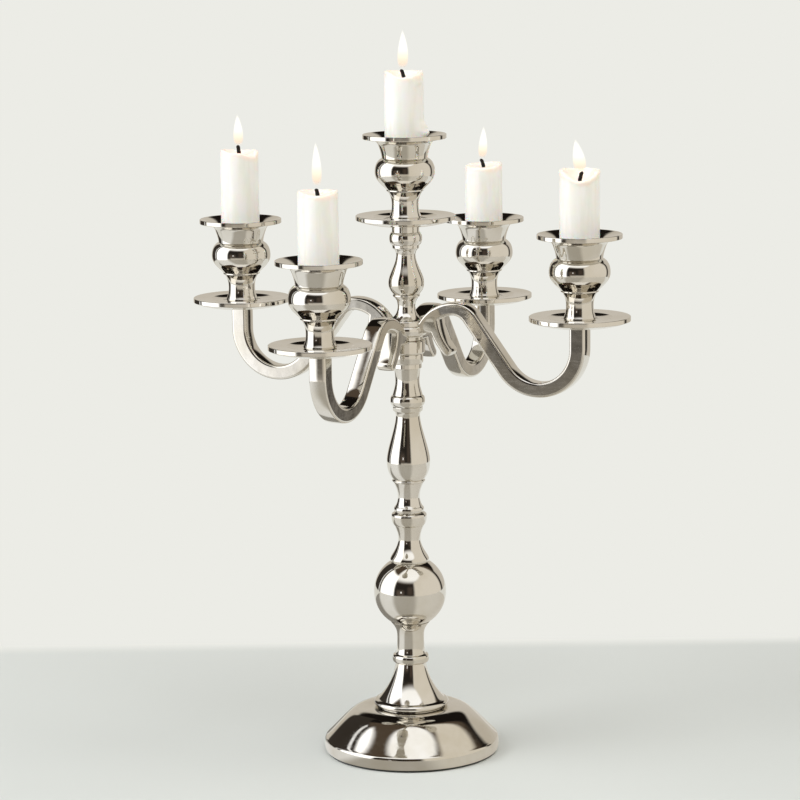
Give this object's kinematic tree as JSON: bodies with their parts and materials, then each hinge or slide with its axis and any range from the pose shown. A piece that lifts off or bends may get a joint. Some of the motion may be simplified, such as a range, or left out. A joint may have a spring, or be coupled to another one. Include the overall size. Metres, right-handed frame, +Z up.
{
  "type": "tabletop candelabra",
  "caption": "Tabletop candelabra with a turned stem on a round domed foot, curved cast arms in two tiers, and drip plates and cups that hold part-burnt candles.",
  "frame": {"origin": "middle of the resting face, under the felt ring, on the stem's axis", "axes": "+Z up along the stem; the upper pair of arms lies along X and the lower pair along Y; the front left light is at -Y"},
  "size_m": [0.2866, 0.2866, 0.4233],
  "materials": {
    "nickel_plate": "cast metal, bright nickel plate, mirror polished",
    "zinc_steel": "zinc-plated steel",
    "felt": "dense pressed wool felt",
    "wax": "ivory wax, smooth, slightly translucent",
    "wick": "braided cotton, charred",
    "flame": "candle flame, glowing and see-through"
  },
  "bodies": {
    "root": {"foot": "nickel_plate", "pedestal": "nickel_plate", "ball_knop": "nickel_plate", "lower_spindle": "nickel_plate", "lower_bead": "nickel_plate", "baluster_collar": "nickel_plate", "baluster": "nickel_plate", "upper_bead": "nickel_plate", "hub_seat": "nickel_plate", "lower_hub": "nickel_plate", "upper_hub": "nickel_plate", "upper_socket": "nickel_plate", "upper_baluster": "nickel_plate", "top_bead": "nickel_plate", "arm_front_left": "nickel_plate", "arm_front_right": "nickel_plate", "arm_back_left": "nickel_plate", "arm_back_right": "nickel_plate", "plate_middle": "nickel_plate", "plate_front_left": "nickel_plate", "plate_front_right": "nickel_plate", "plate_back_left": "nickel_plate", "plate_back_right": "nickel_plate", "cup_middle": "nickel_plate", "cup_front_left": "nickel_plate", "cup_front_right": "nickel_plate", "cup_back_left": "nickel_plate", "cup_back_right": "nickel_plate", "foot_washer": "zinc_steel", "foot_nut": "zinc_steel", "tie_rod": "zinc_steel", "arm_studs": "zinc_steel", "felt_ring": "felt"},
    "middle_candle": {"candle_middle": "wax", "wick_middle": "wick"},
    "front_left_candle": {"candle_front_left": "wax", "wick_front_left": "wick"},
    "front_right_candle": {"candle_front_right": "wax", "wick_front_right": "wick"},
    "back_left_candle": {"candle_back_left": "wax", "wick_back_left": "wick"},
    "back_right_candle": {"candle_back_right": "wax", "wick_back_right": "wick"}
  },
  "joints": [
    {"name": "middle_candle_lift", "type": "slide", "parent": "root", "child": "middle_candle", "axis": [0, 0, 1], "range_m": [0, 0.03]},
    {"name": "front_left_candle_lift", "type": "slide", "parent": "root", "child": "front_left_candle", "axis": [0, 0, 1], "range_m": [0, 0.03]},
    {"name": "front_right_candle_lift", "type": "slide", "parent": "root", "child": "front_right_candle", "axis": [0, 0, 1], "range_m": [0, 0.03]},
    {"name": "back_left_candle_lift", "type": "slide", "parent": "root", "child": "back_left_candle", "axis": [0, 0, 1], "range_m": [0, 0.03]},
    {"name": "back_right_candle_lift", "type": "slide", "parent": "root", "child": "back_right_candle", "axis": [0, 0, 1], "range_m": [0, 0.03]}
  ]
}
